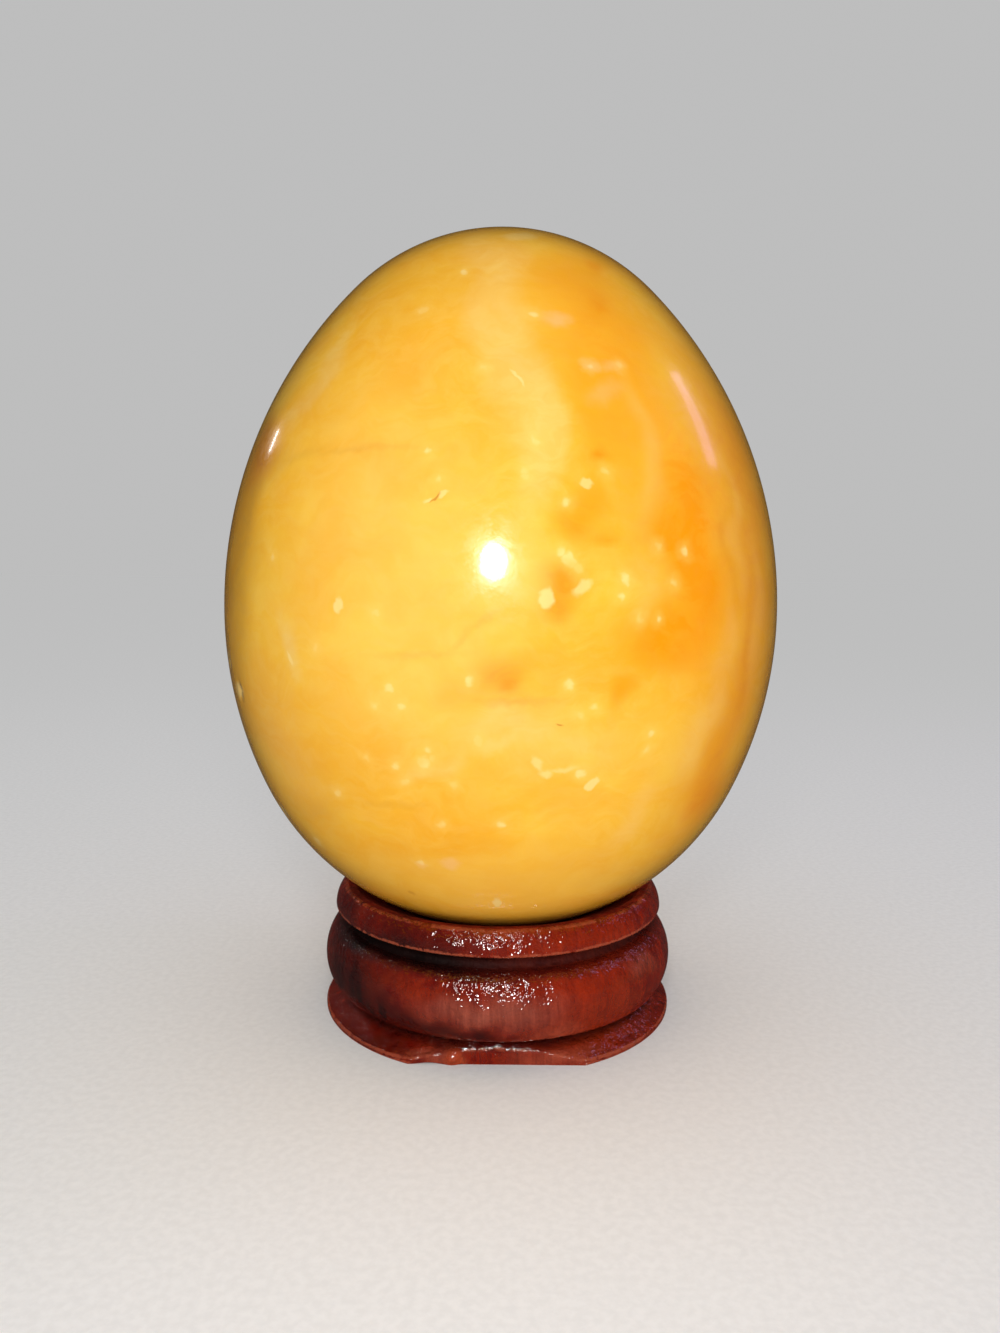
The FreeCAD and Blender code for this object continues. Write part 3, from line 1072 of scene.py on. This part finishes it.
def paint_patches(piece, patches, size, reach):
    """Lays broad soft patches on the vertices, as one colour and how strongly it covers."""
    mesh = piece.data
    count = len(mesh.vertices)
    places = values_of(mesh.vertices, "co", 3) / MM
    swing = np.empty((count, 3))
    for axis, offset in enumerate(SWING_OFFSETS):
        swing[:, axis] = [noise.noise(Vector(p) / size + offset) for p in places]
    drift = places + swing * reach
    tints, cover = np.zeros((count, 3)), np.zeros(count)
    for tone, marks in patches:
        colour = np.array(paint(*tone)[:3])
        for *spot, soft, strength in marks:
            found = laid(piece, *spot, PATCH_DEPTH)
            if not found:
                continue
            centre, *ways = (np.array(v) for v in found)
            gap = drift - centre
            far = np.sqrt(sum((gap @ way) ** 2 for way in ways))
            share = np.clip((1 + soft - far) / (2 * soft), 0, 1)
            share = np.minimum(share * share * (3 - 2 * share) * strength, 1)
            tints = tints * (1 - share[:, None]) + colour * share[:, None]
            cover = cover * (1 - share) + share
    colours = np.ones((count, 4))
    colours[:, :3] = tints / np.maximum(cover, LEAST_COVER)[:, None]
    colours[:, 3] = cover
    store_colours(mesh, "patches", colours)


# Stone and lacquered wood


def lay_patches(m, colour, drawn):
    """The painted patches over a colour, broken up by a mask of about 1."""
    patches = m.painted("patches")
    cover = m.maths("MULTIPLY", patches["Alpha"], drawn, clamp=True)
    return m.mix(cover, colour, patches["Color"])


def lay_skin(m, shader, colour, roughness, height, relief):
    """Joins colour, roughness and relief (its strength, and its depth in mm) to a shader."""
    strength, depth = relief
    m.feed(shader.inputs["Base Color"], colour)
    m.feed(shader.inputs["Roughness"], roughness)
    feeds = {"Height": height, "Strength": strength, "Distance": depth * MM}
    m.feed(shader.inputs["Normal"], m.add("ShaderNodeBump", feeds).outputs[0])


def make_stone(egg):
    """The polished amber stone with its clouds, patches, flecks and marks, and painted shade along
    its outline.
    """
    material, m, shader, place = start_material("amber stone")
    fray = m.use(WANDER, place=place, size=FRAY_SIZE, reach=FRAY_REACH)[0]
    clouds = m.use(CLOUDS, place=place, size=SLOW_CLOUDS)
    fine = m.use(CLOUDS, place=place, size=FINE_CLOUDS)
    colour = m.ramp(clouds["Clouds"], STONE_TONES)
    colour = m.stain(colour, WISP_TONE, clouds["Wisps"], WISP_SHARE)
    colour = m.stain(colour, MILK_TONE, fine["Wisps"], MILK_SHARE)
    colour = lay_patches(m, colour, m.maths("MULTIPLY_ADD", fine["Wisps"], *STONE_BREAKS))
    colour = m.stain(colour, HONEY_TONE, fine["Clouds"], HONEY_SHARE)
    away = m.remap(m.split(place)[1], BACK_FROM, BACK_FULL)
    free = m.use(CRUMBS, place=fray, spacing=CRUMB_SPACING, where=away)[0]
    edge = lay_crumbs(m, egg, fray, PALE_CRUMBS)
    vary = m.remap(m.noise(place, 0.33)[0], 0.42, 0.6, *CRUMB_PALENESS)
    pale = m.maths("MULTIPLY", m.remap(edge, *CRUMB_EDGE), vary)
    pale = m.maths("MAXIMUM", pale, m.maths("MULTIPLY", free, FREE_CRUMB_SHARE))
    pale = m.maths("MAXIMUM", pale, lay_spots(m, egg, fray, PALE_FLECKS))
    colour = m.stain(colour, MILK_TONE, m.remap(edge, *HALO_EDGE, 0.0, HALO_SHARE))
    colour = m.stain(colour, CRUMB_TONE, pale, CRUMB_SHARE)
    colour = m.stain(colour, PINK_TONE, lay_spots(m, egg, fray, PINK_FLECKS))
    colour = m.stain(colour, DARK_TONE, lay_spots(m, egg, fray, DARK_MARKS))
    # Painted shade towards the outline, where the skin turns away from the view.
    facing = m.add("ShaderNodeLayerWeight", {"Blend": 0.5}).outputs["Facing"]
    colour = m.stain(colour, LIMB_SHADE_TONE, m.remap(facing, LIMB_SHADE_FROM, 1.0, 0.0, LIMB_SHADE_SHARE))
    mirrored = m.add("ShaderNodeLightPath").outputs["Is Glossy Ray"]
    colour = m.mix(mirrored, colour, m.vectors("SCALE", colour, scale=EGG_MIRRORED))
    low, high = STONE_ROUGH
    skin = m.use(SKIN, place=place, grain=STONE_GRAIN, rough_low=low, rough_high=high)
    lay_skin(m, shader, colour, skin["Roughness"], skin["Height"], STONE_RELIEF)
    shader.inputs["IOR"].default_value = STONE_IOR
    shader.inputs["Coat Weight"].default_value = STONE_COAT
    shader.inputs["Coat Roughness"].default_value = STONE_COAT_ROUGHNESS
    return material


def shade_hollows(m, place, hollow):
    """Painted shade: darker in the hollows, in the cove (most on the left) and in the groove on the
    foot.
    """
    east, north, height = m.split(place)
    radius = m.vectors("LENGTH", m.join(east, north, 0.0))
    cove = m.maths("MULTIPLY", m.remap(height, *COVE_BELOW), m.remap(height, *COVE_ABOVE))
    cove = m.maths("MULTIPLY", cove, m.remap(east, *COVE_ACROSS, COVE_LEAST, 1.0))
    foot = (NECK_RADIUS, BEAD_FOOT, 0.0)
    groove = m.vectors("DISTANCE", m.join(radius, height, 0.0), foot)
    shaded = m.maths("MAXIMUM", cove, m.remap(groove, *GROOVE_REACH, 0.0, GROOVE_SHARE))
    return m.maths("MAXIMUM", m.remap(hollow, *HOLLOW_BENDS), shaded)


def make_wood(name, shine, dullness):
    """Deep red-brown lacquered wood with standing grain and worn edges, painted light and shade in
    patches, and painted shade in its hollows.
    """
    material, m, shader, place = start_material(name)
    grain = m.use(GRAIN, place=place)
    edge, hollow, _ = m.split(m.painted("bends")["Color"])
    colour = m.stain(paint(*DEEP_WOOD), WARM_WOOD, grain["Streaks"])
    mottle = m.remap(m.noise(place, 1.1, 3.0, 0.65)[0], 0.4, 0.68, 0.0, MOTTLE_SHARE)
    colour = m.stain(colour, MOTTLE_TONE, mottle)
    # The patches lay painted light and painted shade over the lacquer, along with the drip's own
    # colour.
    colour = lay_patches(m, colour, m.maths("MULTIPLY_ADD", grain["Streaks"], *WOOD_BREAKS))
    colour = m.stain(colour, LINE_TONE, grain["Lines"], LINE_SHARE)
    # Painted shade in the hollows, the cove and the groove.
    colour = m.stain(colour, HOLLOW_SHADE_TONE, shade_hollows(m, place, hollow), HOLLOW_SHADE_SHARE)
    colour = m.stain(colour, PORE_TONE, grain["Pores"], PORE_SHARE)
    wear = m.use(WEAR, place=place, bend=edge, amount=WORN_AMOUNT)[0]
    colour = m.stain(colour, WORN_TONE, wear)
    low, high = LACQUER_ROUGH
    skin = m.use(SKIN, place=place, grain=LACQUER_GRAIN, rough_low=low, rough_high=high)
    roughness = m.maths("ADD", skin["Roughness"], dullness)
    lay_skin(m, shader, colour, roughness, skin["Height"], LACQUER_RELIEF)
    shader.inputs["IOR"].default_value = LACQUER_IOR
    shader.inputs["Specular IOR Level"].default_value = shine
    return material


def dull_seat(stand):
    """Gives the hollow seat inside the rim the second, dull material."""
    mesh = stand.data
    middles = values_of(mesh.polygons, "center", 3) / MM
    inside = np.hypot(middles[:, 0], middles[:, 1]) < RIM_RADIUS - SEAT_MARGIN
    inside &= middles[:, 2] > BEAD_FOOT
    mesh.polygons.foreach_set("material_index", inside.astype(int))
    mesh.update()


# Floor, room and lamps


def lay_floor():
    """A plain pale floor, wide enough to run out of sight."""
    bpy.ops.mesh.primitive_plane_add(size=FLOOR_SIDE, location=(0, 0, 0))
    floor = bpy.context.object
    floor.name = "pale_floor"
    material, f, shader, place = start_material("pale floor")
    low, high = FLOOR_SHADE * (1 - FLOOR_SPECKLE), FLOOR_SHADE * (1 + FLOOR_SPECKLE)
    shade = f.remap(f.noise(place, 1.3, 3.0, 0.6)[0], 0.3, 0.7, low, high)
    mirrored = f.add("ShaderNodeLightPath").outputs["Is Glossy Ray"]
    shade = f.maths("MULTIPLY", shade, f.remap(mirrored, 0.0, 1.0, 1.0, FLOOR_MIRRORED))
    f.feed(shader.inputs["Base Color"], f.join(shade, shade, shade))
    shader.inputs["Roughness"].default_value = FLOOR_ROUGHNESS
    shader.inputs["Specular IOR Level"].default_value = 0.0
    floor.data.materials.append(material)


def light_room():
    """Even fill light; what the camera sees of it matches the far floor."""
    world = bpy.data.worlds.new("soft room")
    bpy.context.scene.world = world
    world.use_nodes = True
    w = Recipe(world.node_tree)
    w.tree.nodes.clear()
    path = w.add("ShaderNodeLightPath").outputs
    seen = FLOOR_SHADE * FILL_LEVEL
    level = w.remap(path["Is Camera Ray"], 0.0, 1.0, FILL_LEVEL, seen)
    level = w.remap(path["Is Glossy Ray"], 0.0, 1.0, level, ROOM_MIRRORED)
    sky = w.add("ShaderNodeBackground", {"Color": (1, 1, 1, 1), "Strength": level})
    out = w.add("ShaderNodeOutputWorld")
    w.tree.links.new(sky.outputs[0], out.inputs[0])


def mirror_way(photo_x, photo_y):
    """Where the egg's skin mirrors the line of sight to, from its point under a pixel."""
    place, normal = touch(egg, photo_x, photo_y)
    _, way = sight_line(photo_x, photo_y)
    return place, way - 2 * way.dot(normal) * normal


def hang_lamp(name, shape, place, turn, sides, watts, tint):
    """A soft lamp with sides in mm, hung at a place in mm with a turn."""
    bpy.ops.object.light_add(type="AREA", location=[v * MM for v in place])
    lamp = bpy.context.object
    lamp.name = name
    lamp.data.shape = shape
    lamp.data.size, lamp.data.size_y = (side * MM for side in sides)
    lamp.data.energy = watts
    lamp.data.color = tint
    lamp.visible_camera = False
    lamp.rotation_euler = turn
    return lamp


def facing_egg(place):
    """The turn of a lamp that looks from its place at the egg."""
    way = Vector(LAMP_AIM) - Vector(place)
    return way.to_track_quat("-Z", "Y").to_euler()


def set_lamps():
    """The flash by the lens, the softbox, and the strips that the egg's shoulders mirror."""
    start, way = mirror_way(*FLASH_SEEN)
    reach = (CAMERA_PLACE[1] - start.y) / way.y
    place = start + way * reach
    sides = (FLASH_SIDE, FLASH_SIDE)
    hang_lamp("flash", "DISK", place, facing_egg(place), sides, FLASH_WATTS, FLASH_TINT)
    place = SOFTBOX_PLACE
    sides = (SOFTBOX_SIDE, SOFTBOX_SIDE)
    white = (1.0, 1.0, 1.0)
    turn = facing_egg(place)
    softbox = hang_lamp("soft_front", "SQUARE", place, turn, sides, SOFTBOX_WATTS, white)
    softbox.visible_glossy = False
    softbox.data.spread = SOFTBOX_SPREAD
    for name, streak, width, watts, tint in STRIPS:
        ends = []
        for photo_x, photo_y in streak:
            spot, way = mirror_way(photo_x, photo_y)
            ends.append(spot + way * STRIP_REACH)
        middle = (ends[0] + ends[1]) / 2
        streak_way = ends[1] - ends[0]
        back = (middle - STRIP_AIM).normalized()
        side = streak_way.normalized().cross(back).normalized()
        turn = Matrix((side, back.cross(side), back)).transposed().to_euler()
        sides = (width, streak_way.length)
        hang_lamp(name, "RECTANGLE", middle, turn, sides, watts, tint)


# The object is made, dressed and lit

camera, camera_turn = place_camera()
egg = make_egg()
stand = make_stand()
paint_bends(stand)

for piece, body, slot_name, node in (
    (egg, "egg", "egg_stone", "egg"),
    (stand, "stand", "stand_wood", "stand"),
):
    bpy.ops.object.select_all(action="DESELECT")
    piece.select_set(True)
    bpy.context.view_layer.objects.active = piece
    bpy.ops.object.shade_smooth_by_angle(angle=SMOOTH_ANGLE)
    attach(piece, body)
    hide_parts(node)

WANDER = wander_group()
SPOT = spot_group()
CLOUDS = cloud_group()
CRUMBS = crumb_group()
SKIN = skin_group()
GRAIN = grain_group()
WEAR = wear_group()

paint_patches(egg, STONE_PATCHES, *STONE_SWAY)
egg.data.materials.append(make_stone(egg))
# The stand's patches are mostly painted light and painted shade.
paint_patches(stand, WOOD_TONES_AND_PAINTED_LIGHT, *WOOD_SWAY)
lacquer = make_wood("red lacquered wood", LACQUER_SHINE, LACQUER_DULLNESS)
stand.data.materials.append(lacquer)
stand.data.materials.append(make_wood("dull seat wood", SEAT_SHINE, SEAT_DULLNESS))
dull_seat(stand)

lay_floor()
light_room()
set_lamps()
bpy.context.scene.view_settings.view_transform = "Standard"
